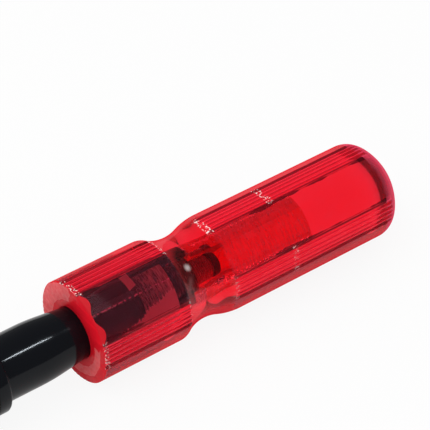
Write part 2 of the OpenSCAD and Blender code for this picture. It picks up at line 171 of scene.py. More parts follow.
class Finish(Nodes):
    """One procedural material."""

    def __init__(self, name, **constants):
        self.material = bpy.data.materials.new(name)
        self.material.use_nodes = True
        super().__init__(self.material.node_tree)
        self.shader = self.tree.nodes["Principled BSDF"]
        self.surface = Value(self, self.shader.outputs[0])
        self.set(**constants)

    def set(self, **values):
        for key, value in values.items():
            self.feed(self.shader.inputs[key.replace("_", " ")], value)
        return self

    def end(self, **values):
        for key, value in values.items():
            self.feed(self.tree.nodes["Material Output"].inputs[key], value)

    def place(self):
        return self.node("ShaderNodeTexCoord", out="Object")

    def axis(self, which):
        return self.node("ShaderNodeSeparateXYZ", {}, {0: self.place()}, out=which)

    def station(self):
        """Distance from the wand's sawn face in mm."""
        return (self.axis("X") - face_x) * 1000

    def radius(self):
        """Distance from the light's axis in mm."""
        return self.axis("Y").hypotenuse(self.axis("Z") - axis_h) * 1000

    def stretched(self, along, around):
        scales = {"Vector": self.place(), "Scale": (along, around, around)}
        return self.node("ShaderNodeMapping", {}, scales)

    def noise(self, scale, detail=3.0, roughness=0.5, where=None):
        inputs = {"Vector": where or self.place(), "Scale": scale, "Detail": detail, "Roughness": roughness}
        return self.node("ShaderNodeTexNoise", {}, inputs)

    def mix(self, share, one, two):
        return self.node("ShaderNodeMix", {"data_type": "RGBA"}, {0: share, 6: one, 7: two}, out=2)

    def coloured(self, share, one, two):
        return self.set(Base_Color=self.mix(share, one, two))

    def bump(self, height, depth, rounded=None):
        inputs = {"Height": height, "Distance": depth}
        if rounded:
            inputs["Normal"] = self.node("ShaderNodeBevel", {"samples": 4}, {"Radius": rounded})
        return self.set(Normal=self.node("ShaderNodeBump", {}, inputs))

    def grained(self, grain, smooth, rough, depth, rounded=None):
        """Takes the roughness and the relief from one grain."""
        return self.set(Roughness=grain.ramp(0.3, 0.7, smooth, rough)).bump(grain, depth, rounded)


sheet_dull = (0.82, 0.82, 0.82)
sheet_white = (0.84, 0.84, 0.84)
sheet_glow = 0.9
sheet_in_gloss = 0.35
sheet = Finish("white_sheet", Roughness=0.9)
sheet.coloured(sheet.noise(400), sheet_dull, sheet_white)
seen, mirrored, through = sheet.rays()
glow = sheet.node("ShaderNodeEmission", {}, {"Color": (1.0, 1.0, 1.0), "Strength": 1.0})
lit = (seen * sheet_glow).maximum(mirrored * sheet_in_gloss).maximum(through)
sheet.end(Surface=sheet.blend(lit, sheet.surface, glow))

floor_mesh = bpy.data.meshes.new("floor")
bm = bmesh.new()
bmesh.ops.create_grid(bm, x_segments=8, y_segments=8, size=4)
bm.to_mesh(floor_mesh)
bm.free()
floor_mesh.materials.append(sheet.material)
floor = bpy.data.objects.new("floor", floor_mesh)
scene.collection.objects.link(floor)

# ---- studio light ----
# Even soft surroundings, white to the eye and dimmer in reflections and through the wand. A
# soft box hangs over the handle, and a strip draws the line on the nose.
ambient = 0.8
ambient_in_gloss = 0.22
ambient_through = 0.8
world = bpy.data.worlds.new("studio")
world.use_nodes = True
scene.world = world
air = Nodes(world.node_tree)
seen, mirrored, through = air.rays()
dimming = (mirrored * (ambient - ambient_in_gloss)).maximum(through * (ambient - ambient_through))
level = seen * (1 - ambient) + ambient - dimming
background = world.node_tree.nodes["Background"]
air.feed(background.inputs["Color"], (1.0, 1.0, 1.0))
air.feed(background.inputs["Strength"], level)


def soft_box(name, along, around, away, size, power):
    """An area light seen at an angle along the axis and an angle round it, from -Y up over +Z."""
    data = bpy.data.lights.new(name, "AREA")
    data.shape = "RECTANGLE"
    data.size, data.size_y = size
    data.energy = power
    lamp = bpy.data.objects.new(name, data)
    scene.collection.objects.link(lamp)
    out = Vector((sin(along), -cos(along) * cos(around), cos(along) * sin(around)))
    long_side = (Vector((1, 0, 0)) - out * out.x).normalized()
    lamp.location = Vector((0, 0, axis_h)) + out * away
    lamp.rotation_euler = Matrix((long_side, out.cross(long_side), out)).transposed().to_euler()
    return lamp


soft_box("overhead_box", radians(-30), radians(85), 1.2, (1.0, 1.3), 7)
strip = soft_box("strip", radians(23), radians(69.5), 1.1, (0.34, 0.03), 3.5)
strip.data.color = (0.85, 0.93, 1.0)


# ---- nose ----
# One black moulding: a spigot for the wand's socket, the polished taper that shows, a flange
# and a stub that the collar holds. It is turned to its outline and polished.
def arc(centre, radius, start, end, steps=8):
    """Points of an arc in the plane of station and radius, with angles in degrees from the axis."""
    turns = [radians(start + (end - start) * i / steps) for i in range(steps + 1)]
    return [(centre[0] + radius * cos(t), centre[1] + radius * sin(t)) for t in turns]


on_axis = Matrix.Translation((face_x, 0, axis_h))


def turned(outline, steps=128, closed=True, place=on_axis):
    """A body turned from points of (station, radius) or (station, radius, rounding) in mm."""
    bm = bmesh.new()
    corners = [bm.verts.new((p[0] * mm, 0, p[1] * mm)) for p in outline]
    for one, two in zip(corners, corners[1:]):
        bm.edges.new((one, two))
    if closed:
        bm.edges.new((corners[-1], corners[0]))
    for corner, point in zip(corners, outline):
        if len(point) > 2:
            bmesh.ops.bevel(bm, geom=[corner], offset=point[2] * mm, offset_type="OFFSET", segments=4,
                            profile=0.5, affect="VERTICES", material=-1)
    bmesh.ops.spin(bm, geom=bm.verts[:] + bm.edges[:], cent=(0, 0, 0), axis=(1, 0, 0), angle=2 * pi,
                   steps=steps, use_merge=True)
    bmesh.ops.remove_doubles(bm, verts=bm.verts, dist=1e-7)
    bmesh.ops.recalc_face_normals(bm, faces=bm.faces)
    bmesh.ops.transform(bm, matrix=place, verts=bm.verts)
    return bm


def piece(name, bm, finish, body, slot, *stands_for, crease=35):
    """Makes a piece from its mesh, with smooth faces and creases where two faces meet sharply."""
    for face in bm.faces:
        face.smooth = True
    for edge in bm.edges:
        edge.smooth = len(edge.link_faces) == 2 and edge.calc_face_angle(0) < radians(crease)
    mesh = bpy.data.meshes.new(name)
    bm.to_mesh(mesh)
    bm.free()
    mesh.materials.append(finish.material)
    made = bpy.data.objects.new(name, mesh)
    scene.collection.objects.link(made)
    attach(made, body)
    if stands_for:
        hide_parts(*stands_for)
    return made


nose_len = 30
flange_t = 4.6
ring_t = 3.4
flange_at = -nose_len - flange_t
collar_at = flange_at - ring_t
nose_r = 10
flange_r = 12.25
spigot_r = 8.55
spigot_end = 31
nose_bore_r = 5
stub_r = 8
stub_len = 10
seal_at, seal_w = 18.6, 1.6
seal_groove_r = spigot_r - 1
taper_from, taper_r = -17, 70

nose_outline = [
    (collar_at - stub_len, nose_bore_r), (collar_at - stub_len, stub_r), (flange_at, stub_r, 0.2),
    (flange_at, flange_r, 0.3), (-nose_len, flange_r, 0.9), (-nose_len, nose_r, 1.0),
]
nose_outline += arc((taper_from, nose_r - taper_r), taper_r, 90, 83.4)
nose_outline += [
    (0, spigot_r), (seal_at, spigot_r, 0.1), (seal_at, seal_groove_r), (seal_at + seal_w, seal_groove_r),
    (seal_at + seal_w, spigot_r, 0.1), (spigot_end, spigot_r, 0.6), (spigot_end, nose_bore_r),
]

polished_black = Finish("polished_black", Base_Color=(0.003, 0.0035, 0.005), Specular_IOR_Level=0.17)
haze = polished_black.noise(140, 4)
polished_black.set(Roughness=haze.ramp(0.35, 0.7, 0.07, 0.14))
polished_black.bump(polished_black.noise(90, 2, where=polished_black.stretched(0.3, 1)), 0.00004)
nose = piece("nose", turned(nose_outline), polished_black, "handle", "black_gloss_plastic", "nose_tube")

# The strip lights the nose alone.
strip_lit = bpy.data.collections.new("strip_lit")
strip_lit.objects.link(nose)
strip.light_linking.receiver_collection = strip_lit

# ---- spigot seal ----
# A round rubber ring, moulded in one piece and stretched into the spigot's groove. It grips
# the wall of the socket.
rubber = Finish("black_rubber", Base_Color=(0.014, 0.014, 0.015))
rubber_grain = rubber.noise(2500, 3)
rubber.grained(rubber_grain, 0.55, 0.7, 0.00003)
seal_outline = arc((seal_at + seal_w / 2, spigot_r - 0.45), 0.55, 0, 330, 11)
piece("spigot_seal", turned(seal_outline, 96), rubber, "handle", "black_rubber", "socket_seal")

# ---- lamp nozzle ----
# A dark machined nozzle pressed into the nose: a boss with a black band round its foot, then a
# stud with a fine thread and a blackened ring screwed on its end. It shows through the wand.
boss_r = 5.6
boss_end = 41
stud_end = 53
stud_r = 4
thread_pitch = 1
thread_depth = 0.25
end_ring_t = 2.4
lamp_r = 2
nozzle_bore_r = 3.2
press_len = 10
band_end, band_t = 35, 0.25
snug = 0.03

nozzle_outline = [
    (spigot_end - press_len, nozzle_bore_r), (spigot_end - press_len, nose_bore_r - snug, 0.2),
    (spigot_end, nose_bore_r - snug), (spigot_end, boss_r, 0.2), (band_end, boss_r, 0.3),
    (band_end + 0.3, boss_r - band_t), (boss_end, boss_r - band_t, 0.5), (boss_end, stud_r),
]
thread_from = boss_end + 0.5
for i in range(int((stud_end - end_ring_t - thread_from) / thread_pitch)):
    start = thread_from + thread_pitch * i
    nozzle_outline += [(start, stud_r), (start + thread_pitch / 2, stud_r - thread_depth)]
nozzle_outline += [
    (stud_end, stud_r - thread_depth, 0.1), (stud_end, lamp_r), (thread_from, lamp_r),
    (boss_end - 1, nozzle_bore_r),
]
dark_metal = Finish("blackened_metal", Metallic=0.3)
lathe_marks = dark_metal.noise(260, 4, where=dark_metal.stretched(14, 1))
band = dark_metal.station() < band_end + 0.1
chatter = dark_metal.noise(500, 2) * 0.12
# Thread crests are painted near white, partly as worn metal and partly as painted highlights; pale specks
# on the boss are painted highlights.
thread_crest = (dark_metal.radius() + chatter).ramp(stud_r - 0.21, stud_r - 0.15)
worn_and_highlit_crests = (dark_metal.station() > boss_end) * thread_crest
highlight_specks = dark_metal.noise(420, 2).ramp(0.6, 0.66)
boss_colour = dark_metal.mix(worn_and_highlit_crests.maximum(highlight_specks), (0.13, 0.115, 0.12), (0.88, 0.84, 0.86))
dark_metal.coloured(band, boss_colour, (0.004, 0.004, 0.005))
dark_metal.grained(lathe_marks, 0.16, 0.38, 0.00005)
piece("nozzle", turned(nozzle_outline, 96), dark_metal, "handle", "black_satin_plastic", "lamp_nozzle")

ring_from, ring_to = stud_end - end_ring_t, stud_end + thread_depth
ring_outline = [
    (ring_from, stud_r - thread_depth), (ring_from, stud_r + thread_depth, 0.15),
    (ring_to, stud_r + thread_depth, 0.15), (ring_to, stud_r - thread_depth),
]
black_ring = Finish("matt_black_ring", Base_Color=(0.006, 0.006, 0.006))
ring_grain = black_ring.noise(900, 3)
black_ring.grained(ring_grain, 0.4, 0.55, 0.00003)
piece("end_ring", turned(ring_outline, 64), black_ring, "handle", "black_satin_plastic", "nozzle_ring")

# ---- lamp ----
# A small light-emitting diode: a clear epoxy body with a round front and a rim, soldered to a
# round board, with two sleeved wires back through the nose.
lamp_base = boss_end - 2.2
lamp_rim_t = 1
lamp_rim_r = 1.25 * lamp_r
lamp_outline = [
    (lamp_base, 0), (lamp_base, lamp_rim_r, 0.1), (lamp_base + lamp_rim_t, lamp_rim_r, 0.1),
    (lamp_base + lamp_rim_t, lamp_r),
]
lamp_outline += arc((stud_end - lamp_r / 2, 0), lamp_r, 90, 0)
clear_epoxy = Finish("clear_epoxy", Base_Color=(0.95, 0.9, 0.86), IOR=1.53, Transmission_Weight=0.9)
clear_epoxy.set(Roughness=clear_epoxy.noise(700).ramp(0.3, 0.7, 0.05, 0.12))
piece("lamp", turned(lamp_outline, 48, closed=False), clear_epoxy, "handle", "clear_lamp", "led_lamp")


def dress(finish, *names):
    """Gives CAD pieces that keep their own shape their material."""
    for name in names:
        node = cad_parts[name]
        if not node.material_slots:
            node.data.materials.append(finish.material)
        for holder in node.material_slots:
            holder.material = finish.material


board = Finish("green_board", Roughness=0.35)
grid = {"Vector": board.place(), "Scale": 380}
tracks = board.node("ShaderNodeTexVoronoi", {"distance": "MANHATTAN"}, grid)
board.coloured(tracks < 0.16, (0.02, 0.14, 0.05), (0.55, 0.52, 0.45))
board.bump(tracks, 0.00005)
dress(board, "led_board")


def wire_sleeve(name, colour):
    """Soft insulation on a wire."""
    sleeve = Finish(name, Base_Color=colour)
    sleeve.set(Roughness=sleeve.noise(500).ramp(0.3, 0.7, 0.3, 0.45))
    sleeve.bump(sleeve.noise(1500), 0.00002)
    return sleeve


dress(wire_sleeve("red_wire_sleeve", (0.45, 0.02, 0.02)), "led_wires")

# ---- wand ----
# Cast clear red plastic with groups of fine flutes and smooth windows between them. The front
# is sawn off and left matt, the socket and the drilled light well keep the tools' rings.
front_r, rear_r, neck_r = 17, 16.3, 14
wand_len, neck_at = 122, 41.6
front_sweep, front_shoulder = 16.5, 4.3
rear_sweep, rear_shoulder = 17, 21.7
dome_r, dome_edge_r = 21, 6.2
face_rim = 0.3
groove_groups, groove_count, groove_step = 4, 5, radians(6)
groove_r, groove_depth = 1.0, 0.45
wand_turn = radians(6.3)
socket_r, socket_depth, mouth_bevel = 8.65, 31.5, 0.3
well_r, well_depth = 6, 85
ring_pitch, ring_depth = 0.45, 0.035

front_sweep_centre = (neck_at, neck_r + front_sweep)
rear_sweep_centre = (neck_at, neck_r + rear_sweep)
front_drop = front_sweep_centre[1] - front_r + front_shoulder
rear_drop = rear_sweep_centre[1] - rear_r + rear_shoulder
front_reach = sqrt((front_sweep + front_shoulder) ** 2 - front_drop ** 2)
rear_reach = sqrt((rear_sweep + rear_shoulder) ** 2 - rear_drop ** 2)
front_shoulder_centre = (neck_at - front_reach, front_r - front_shoulder)
rear_shoulder_centre = (neck_at + rear_reach, rear_r - rear_shoulder)
dome_centre = (wand_len - dome_r, 0)
edge_reach = sqrt((dome_r - dome_edge_r) ** 2 - (rear_r - dome_edge_r) ** 2)
dome_edge_centre = (dome_centre[0] + edge_reach, rear_r - dome_edge_r)


def bearing(centre, point):
    """Direction of a point from a centre, in degrees from the axis."""
    return degrees(atan2(point[1] - centre[1], point[0] - centre[0]))


front_join = bearing(front_sweep_centre, front_shoulder_centre)
rear_join = bearing(rear_sweep_centre, rear_shoulder_centre)
edge_join = bearing(dome_centre, dome_edge_centre)
wand_outline = [(0, front_r - face_rim), (face_rim, front_r)]
wand_outline += arc(front_shoulder_centre, front_shoulder, 90, front_join + 180, 10)
wand_outline += arc(front_sweep_centre, front_sweep, front_join, -90, 14)[1:]
wand_outline += arc(rear_sweep_centre, rear_sweep, -90, rear_join, 14)[1:]
wand_outline += arc(rear_shoulder_centre, rear_shoulder, rear_join + 180, 90, 14)[1:]
wand_outline += arc(dome_edge_centre, dome_edge_r, 90, edge_join, 10)
wand_outline += arc(dome_centre, dome_r, edge_join, 0, 12)[1:]


def flute(vert):
    """Sinks a point of the turned wand into the groove that crosses it."""
    down = vert.co.z - axis_h
    radius = hypot(vert.co.y, down)
    if radius < 1 * mm:
        return
    barrel = front_r if vert.co.x - face_x < neck_at * mm else rear_r
    cutter = (barrel + groove_r - groove_depth) * mm
    group = 2 * pi / groove_groups
    turn = (atan2(vert.co.y, down) - wand_turn + group / 2) % group - group / 2
    nearest = min(max(round(turn / groove_step), -(groove_count // 2)), groove_count // 2)
    off = turn - nearest * groove_step
    across = cutter * sin(off)
    if abs(across) < groove_r * mm:
        wall = cutter * cos(off) - sqrt((groove_r * mm) ** 2 - across ** 2)
        if wall < radius:
            vert.co.y *= wall / radius
            vert.co.z = axis_h + down * wall / radius


outer = turned(wand_outline, 600, closed=False)
for vert in outer.verts:
    flute(vert)
shell = bpy.data.meshes.new("shell")
outer.to_mesh(shell)
outer.free()

bore_outline = [(0, socket_r + mouth_bevel), (mouth_bevel, socket_r)]
bore_outline += [(a, socket_r) for a in range(2, int(socket_depth), 2)]
bore_outline += [(socket_depth, socket_r), (socket_depth, well_r)]
for i in range(int((well_depth - socket_depth - 1) / ring_pitch)):
    start = socket_depth + 0.5 + ring_pitch * i
    bore_outline += [(start, well_r), (start + ring_pitch * 0.5, well_r + ring_depth)]
bore_outline += [(well_depth, well_r), (well_depth, 0)]
bm = turned(bore_outline, 96, closed=False)
bm.from_mesh(shell)
rims = [e for e in bm.edges if e.is_boundary]
bmesh.ops.triangle_fill(bm, edges=rims, use_beauty=True)
bmesh.ops.remove_doubles(bm, verts=bm.verts, dist=1e-7)
bmesh.ops.recalc_face_normals(bm, faces=bm.faces)
sawn, socket_wall, well_wall = 1, 2, 3
for face in bm.faces:
    middle = face.calc_center_median()
    station = (middle.x - face_x) / mm
    radius = hypot(middle.y, middle.z - axis_h) / mm
    if station < 0.01:
        face.material_index = sawn
    elif station < socket_depth + 0.01 and radius < socket_r + mouth_bevel:
        face.material_index = socket_wall
    elif station < well_depth + 0.01 and radius < well_r + ring_depth:
        face.material_index = well_wall


def cast_red(name, roughness=0.004):
    """The wand's plastic: clear on the surface, with the red in its depth."""
    finish = Finish(name, Base_Color=(1.0, 0.97, 0.98), IOR=1.49, Transmission_Weight=1.0,
                    Specular_Tint=(0.25, 0.2, 0.22), Roughness=roughness)
    tint = finish.node("ShaderNodeVolumeAbsorption", {}, {"Color": (0.9945, 0.72, 0.77), "Density": 520.0})
    finish.end(Volume=tint)
    return finish


def veil(finish, amount, colour, roughness=0.4, through=0.2):
    """Lays a scattering layer over a clear finish, as thick as the amount says."""
    look = {"Base Color": colour, "Roughness": roughness, "Specular IOR Level": 0.0}
    look["Transmission Weight"] = through
    layer = finish.node("ShaderNodeBsdfPrincipled", {}, look)
    finish.surface = finish.blend(amount, finish.surface, layer)
    finish.end(Surface=finish.surface)


def turn_about(finish):
    """Angle round the wand from its upper group of flutes, in degrees."""
    up = finish.axis("Z") - axis_h
    return (finish.axis("Y").angle_from(up) - wand_turn).wrapped(-pi, pi) * degrees(1)


# Outside: deep red flutes with a painted highlight along each crest, and painted shade at the edge
# of each group. Pale specks painted at the stations where the cutter ran in or out stand in for
# sparkles of light: painted highlights. Each station is given with its reach to either side.
flute_ends = {
    0.4: 1.2,
    front_shoulder_centre[0] + 1.9: 0.5,
    rear_shoulder_centre[0] - 4.4: 1.1,
    rear_shoulder_centre[0] + 19.5: 1.1,
}
window = 180 / groove_groups
clear_red = cast_red("clear_red")
station = clear_red.station()
turn = turn_about(clear_red)
off = turn.wrapped(-window, window) / degrees(groove_step)
phase = abs(off.wrapped(-0.5, 0.5))
half_group = groove_count / 2
on_group = abs(off) < half_group + 0.3
barrel_here = (station > neck_at) * (rear_r - front_r) + front_r
on_barrel = (clear_red.radius() - barrel_here).ramp(-groove_depth - 0.1, -groove_depth + 0.05)
fluted = on_group * on_barrel
# Painted highlight along each flute's crest, and painted shade in the groove at each group's edge.
crest_highlight = phase.ramp(0.38, 0.48)
edge_groove_shade = abs(abs(off) - half_group + 0.1).ramp(0.42, 0.2)
along_grain = clear_red.noise(60, 4, where=clear_red.stretched(0.12, 6))
fine_grain = clear_red.noise(900, 3, where=clear_red.stretched(0.2, 1))
sparkle_noise = clear_red.noise(1700, 1)
near_end = 0.0
for end_at, reach in flute_ends.items():
    near_end = abs(station - end_at).ramp(reach + 0.1, reach - 0.1) + near_end
# Painted sparkles of light near the ends of the flutes.
painted_sparkles = sparkle_noise.ramp(0.58, 0.6) * near_end * on_group * ((abs(turn) < window) * 0.8 + 0.2)
deep = clear_red.mix(along_grain.ramp(0.3, 0.7), (0.8, 0.006, 0.025), (1.0, 0.01, 0.04))
lined = clear_red.mix(crest_highlight, deep, (1.0, 0.04, 0.08))
shaded = clear_red.mix(edge_groove_shade, lined, (0.2, 0.004, 0.012))
smooth = clear_red.mix(fluted, (0.6, 0.15, 0.26), shaded)

# The neck is hazed on the sides that the window turns away from, and every face where it is
# seen edge on. Right at the rim that layer turns pale pink, a painted rim reflection.
from_window = abs(turn + window)
hidden = from_window.ramp(60, 75) * from_window.ramp(150, 135)
grazing = clear_red.node("ShaderNodeLayerWeight", {}, {"Blend": 0.5}, out="Facing")
cast = clear_red.mix(on_barrel * (1 - grazing.ramp(0.4, 0.6)), (0.8, 0.014, 0.03), smooth)
colour = clear_red.mix(grazing.ramp(0.88, 1.0), clear_red.mix(fluted, cast, shaded), (1.0, 0.035, 0.075))

# A scalloped red lip runs round the sawn edge, and painted shade lies unevenly along each side of
# the window. The dome is hazed towards its rim.
bulge = abs(from_window - 18).ramp(15, 1)
lip = station < bulge * bulge * (3 - bulge * 2) * 1.7 + 0.4
edge_noise = clear_red.noise(75, 3, where=clear_red.stretched(1, 0.2))
window_edge = 27.6
painted_window_shade = abs(from_window - window_edge) < edge_noise.ramp(0.45, 0.65, 0.3, 3.4)
painted_window_shade = painted_window_shade * (turn < 0) * on_barrel * (station > 2)
colour = clear_red.mix(lip * (1 - fluted), colour, (0.8, 0.012, 0.025))
colour = clear_red.mix(painted_window_shade, colour, (0.05, 0.001, 0.006))
dome_haze = grazing.ramp(0.15, 0.4) * (station > dome_edge_centre[0])
colour = clear_red.mix(dome_haze, colour, (0.85, 0.05, 0.12))

# A painted highlight spot and a faint painted highlight streak lie over the nozzle's boss.
highlight_spot_at, highlight_spot_turn, mm_per_degree = 37.2, -40, 0.24
highlight_streak_at, highlight_streak_turn, highlight_streak_slant = 35.3, -60, 0.15
painted_highlight_spot = (station - highlight_spot_at).hypotenuse((turn - highlight_spot_turn) * mm_per_degree).ramp(1.7, 0.3) * 0.5
painted_highlight_streak = abs(station - highlight_streak_at - (turn - highlight_streak_turn) * highlight_streak_slant).ramp(2.2, 0.3)
painted_highlight_streak = painted_highlight_streak * abs(turn - highlight_streak_turn).ramp(16, 4) * 0.12
# All the painted highlights of the outside: sparkles, spot and streak.
painted_highlights = painted_sparkles.maximum(painted_highlight_spot).maximum(painted_highlight_streak)
amount = fluted * (0.42 + crest_highlight * 0.25 + edge_groove_shade * along_grain.ramp(0.35, 0.65, 0.0, 0.5))
amount = amount.maximum((1 - on_barrel) * hidden * 0.6).maximum(dome_haze * 0.55)
amount = amount.maximum(lip * 0.85).maximum(painted_window_shade * 0.8).maximum(fine_grain.ramp(0.5, 0.8, 0.04, 0.08))
veil(clear_red, amount.maximum(painted_highlights), clear_red.mix(painted_highlights.ramp(0, 0.3), colour, (1.0, 0.86, 0.84)))
veil(clear_red, grazing.ramp(0.4, 0.85) * 0.95 * (1 - painted_highlights.ramp(0, 0.3)), colour, through=0.0)

# Sawn face: frosted pale by the saw, but deep red round the mouth and along the window's side.
frosted_red = cast_red("frosted_red", 0.05)
turn = turn_about(frosted_red)
wobble = frosted_red.noise(180, 3)
radius = frosted_red.radius() + (wobble - 0.5) * 2.2
bent = turn + (wobble - 0.5) * 30
upper_frost = (bent > 0) * (bent < 150)
lower_frost = ((bent > 150).maximum(bent < -86)) * (radius < 14.3)
outer_side = 1 - frosted_red.node("ShaderNodeNewGeometry", out="Backfacing")
frost = (radius > 11.1) * upper_frost.maximum(lower_frost)
saw_marks = frosted_red.noise(700, 5, 0.7)
slant = {"Vector": frosted_red.place(), "Rotation": (radians(25), 0, 0), "Scale": (1, 0.15, 3)}
cuts = frosted_red.noise(260, 2, where=frosted_red.node("ShaderNodeMapping", {}, slant))
frost_colour = frosted_red.mix(saw_marks.ramp(0.35, 0.7), (0.95, 0.09, 0.105), (1.0, 0.21, 0.22))
amount = (frost * 0.15 + 0.75 + cuts.ramp(0.55, 0.75) * 0.12) * outer_side
veil(frosted_red, amount, frosted_red.mix(frost, (1.0, 0.01, 0.028), frost_colour))
frosted_red.bump((saw_marks + cuts * 0.5) * outer_side, 0.0003)

# Socket: polished by the spigot up to its seal, rougher beyond, with dried glue on one side up
# to a ragged edge, a pale notch beside the seal and painted shade along the upper side.
socket_red = cast_red("socket_red", 0.02)
station = socket_red.station()
turn = turn_about(socket_red)
ragged_noise = socket_red.noise(420, 4, 0.7, where=socket_red.stretched(4, 0.7))
speckle = socket_red.noise(1300, 2)
beyond_seal = station > seal_at + seal_w
glue_edge = station * 1.5 - 107 + beyond_seal * 4 + (ragged_noise - 0.5) * 30
glue = (station > 9) * (turn < glue_edge) * (turn > -150)
notch = abs(station - seal_at - 1.2).ramp(1.5, 1.3) * (turn > -28 + abs(station - seal_at) * 2) * (turn < 8)
scuffs = beyond_seal * (ragged_noise.ramp(0.42, 0.64) * 0.5 + station.ramp(22, 31, 0.0, 0.35))
rub_line = abs(turn + 39 + (ragged_noise - 0.5) * 5).ramp(2.4, 0.6) * speckle.ramp(0.46, 0.54)
mouth = station.ramp(3, 1)
film = (glue * 0.9).maximum(notch * 0.9).maximum(scuffs).maximum(rub_line).maximum(mouth * 0.6)
painted_upper_shade = (turn > beyond_seal * 19 - 27) * (turn < 60) * (1 - notch)
film = film.maximum((turn > -40) * 0.06 + 0.04).maximum(painted_upper_shade * 0.85)
colour = socket_red.mix(rub_line * (1 - glue), (0.95, 0.7, 0.74), (1.0, 0.6, 0.85))
colour = socket_red.mix(painted_upper_shade, colour, (0.09, 0.008, 0.02))
veil(socket_red, film, socket_red.mix(mouth, colour, (1.0, 0.03, 0.06)), 0.6, 0)

# Light well: fine rings from the drill, with lighter dashes painted where they catch the light:
# painted highlights. Dark paint is left in ragged patches round its mouth, and its wall thins
# out of sight past the stud.
well_red = cast_red("well_red", 0.01)
highlight_dashes = well_red.noise(520, 3, 0.65, where=well_red.stretched(3.4, 0.5))
flecks = well_red.noise(1100, 2).ramp(0.6, 0.64)
station = well_red.station()
end_wall = station > well_depth - 0.3
turn = turn_about(well_red)
beside_stud = (station > boss_end + 2) * (abs(turn + 50) > 38)
well_red.set(Alpha=1 - (end_wall * 0.9).maximum((station > stud_end + 2).maximum(beside_stud) * 0.65))
ragged = (well_red.noise(380, 4, 0.7) - 0.5) * 30
paint = (station < 42 + ragged * 0.1) * (turn > -2 + ragged) * (turn < 60)
paint = paint.maximum((station < 37) * (turn < -84 + ragged * 0.4) * (turn > -125))
scattered = highlight_dashes.ramp(0.48, 0.62) * (flecks * 0.25 + 0.22) * (1 - end_wall) + 0.03
ring_colour = well_red.mix(flecks, (0.8, 0.07, 0.1), (1.0, 0.75, 0.78))
well_colour = well_red.mix(paint, ring_colour, (0.004, 0.003, 0.004))
veil(well_red, scattered.maximum(paint * 0.95), well_colour, 0.5, 0)

wand = piece("clear_wand", bm, clear_red, "wand", "clear_red_plastic", "wand", crease=50)
for finish in (frosted_red, socket_red, well_red):
    wand.data.materials.append(finish.material)

# ---- lock ring ----
# A tan ring with a brushed face, slipped over the nose's stub. The collar pinches it against
# the flange.
brushed_tan = Finish("brushed_tan", Metallic=0.85)
brushing = brushed_tan.noise(300, 4, where=brushed_tan.stretched(20, 1))
brushed_tan.coloured(brushing, (0.36, 0.26, 0.16), (0.5, 0.38, 0.25))
brushed_tan.grained(brushing, 0.3, 0.45, 0.00003)
lock_outline = [
    (collar_at, stub_r + snug), (collar_at, flange_r - 0.4, 0.3), (flange_at, flange_r - 0.4, 0.3),
    (flange_at, stub_r + snug),
]
piece("tan_ring", turned(lock_outline), brushed_tan, "handle", "tan_brass", "lock_ring")


# ---- collar ----
# A satin black moulding that steps up from the nose to the barrel, with a groove round its
# skirt. Its plug is glued into the barrel, over a flat rubber gasket.
def scuffed_black(name, grey, grain, depth, rounded=None):
    """Black plastic with a fine grain, hairline scuffs and a little dust."""
    finish = Finish(name)
    texture = finish.noise(grain, 3)
    scuffs = finish.noise(220, 5, 0.75, where=finish.stretched(0.15, 2)).ramp(0.6, 0.72)
    dust = finish.noise(35, 4, 0.7).ramp(0.45, 0.8)
    paler = scuffs * 0.35 + dust * 0.25
    finish.coloured(paler, (grey, grey, grey * 1.06), (grey * 3.2, grey * 3.1, grey * 3))
    finish.set(Roughness=texture * 0.1 + dust * 0.12 + scuffs * 0.1 + 0.34)
    finish.bump(texture + scuffs * 0.4, depth, rounded)
    return finish


barrel_r, bore_r, cavity_r = 16, 13.7, 11
collar_len, cone_len, plug_len, gasket_t = 16, 9, 8, 1
collar_end = collar_at - collar_len
barrel_at = collar_end - gasket_t
plug_end = barrel_at - plug_len
cavity_at = collar_at - stub_len - 1
groove_from = collar_end + 2.6
groove_to = groove_from + 1.4
groove_floor = barrel_r - 0.8
collar_outline = [
    (collar_at, stub_r + snug), (collar_at, flange_r, 0.4), (collar_at - cone_len, barrel_r, 1.6),
    (groove_to, barrel_r, 0.25), (groove_to, groove_floor, 0.2), (groove_from, groove_floor, 0.2),
    (groove_from, barrel_r, 0.25), (collar_end, barrel_r, 0.4), (collar_end, bore_r - snug),
    (plug_end, bore_r - snug, 0.4), (plug_end, cavity_r), (cavity_at, cavity_r), (cavity_at, stub_r + snug),
]
satin_black = scuffed_black("satin_black", 0.016, 2600, 0.00002)
piece("collar", turned(collar_outline), satin_black, "handle", "black_satin_plastic", "head_collar")
gasket_r = barrel_r - 0.2
gasket_outline = [
    (barrel_at, bore_r), (barrel_at, gasket_r, 0.3), (collar_end, gasket_r, 0.3), (collar_end, bore_r),
]
piece("collar_gasket", turned(gasket_outline), rubber, "handle", "black_rubber", "collar_seal")

# ---- driver ----
# A round board fits across the inside of the collar, with a wound ferrite coil and a chip
# soldered to its back. It feeds the lamp.
board_gap, board_t = 5, 1.6
board_back = collar_at - stub_len - board_gap - board_t
coil_h, coil_r = 3.2, 3
coil_drop = 0.41 * cavity_r
rim_t, waist_r = 0.6, 1.9
coil_place = on_axis @ Matrix.Translation((board_back * mm, 0, -coil_drop * mm))
dress(board, "driver_board")
core_outline = [
    (0, 0), (0, coil_r, 0.2), (-rim_t, coil_r, 0.2), (-rim_t, waist_r), (rim_t - coil_h, waist_r),
    (rim_t - coil_h, coil_r, 0.2), (-coil_h, coil_r, 0.2), (-coil_h, 0),
]
ferrite = Finish("ferrite")
sinter = ferrite.noise(1800, 4)
ferrite.coloured(sinter, (0.04, 0.04, 0.045), (0.09, 0.09, 0.1)).set(Roughness=0.6)
ferrite.bump(sinter, 0.00003)
piece("coil_core", turned(core_outline, 64, False, coil_place), ferrite, "handle", "ferrite", "driver_coil")

